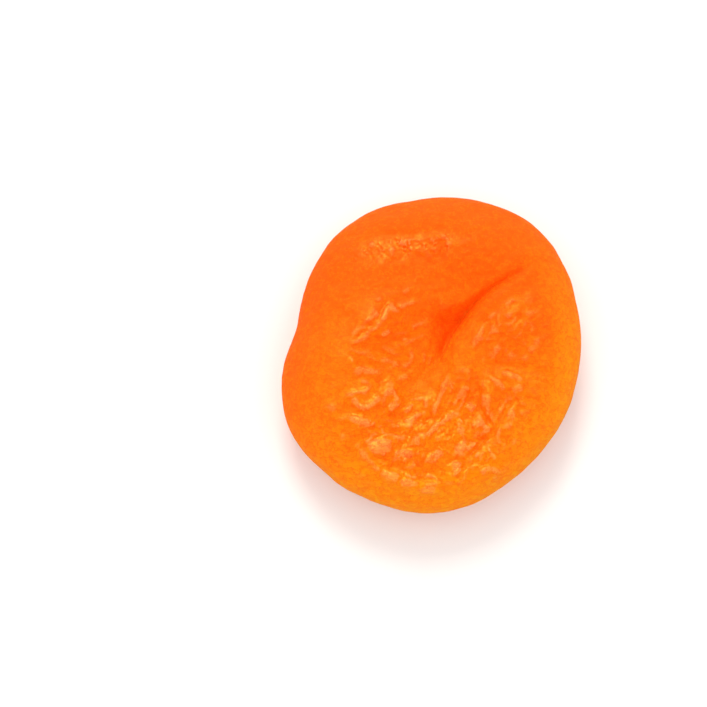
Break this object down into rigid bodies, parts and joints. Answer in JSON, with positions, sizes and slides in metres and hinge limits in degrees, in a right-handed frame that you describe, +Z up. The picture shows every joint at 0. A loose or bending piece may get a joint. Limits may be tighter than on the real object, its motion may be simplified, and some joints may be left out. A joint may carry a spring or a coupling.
{
  "type": "dried apricot",
  "caption": "Whole stoned dried apricot, pressed flat: thick smooth rim, dished wrinkled face, and a deep fold and hollow where the stone came out.",
  "frame": {"origin": "under the middle of the outline, at the level that the fruit rests on", "axes": "+Z up, out of the face with the fold; +Y along the longer way of the outline; +X to the right of the fold's outer end, seen from above"},
  "size_m": [0.038, 0.0406, 0.0128],
  "materials": {
    "dried_apricot_skin": "soft orange fruit skin with a satin, slightly tacky sheen, yellower on the rim and redder in the fold"
  },
  "bodies": {
    "root": {"dried_apricot": "dried_apricot_skin"}
  },
  "joints": []
}
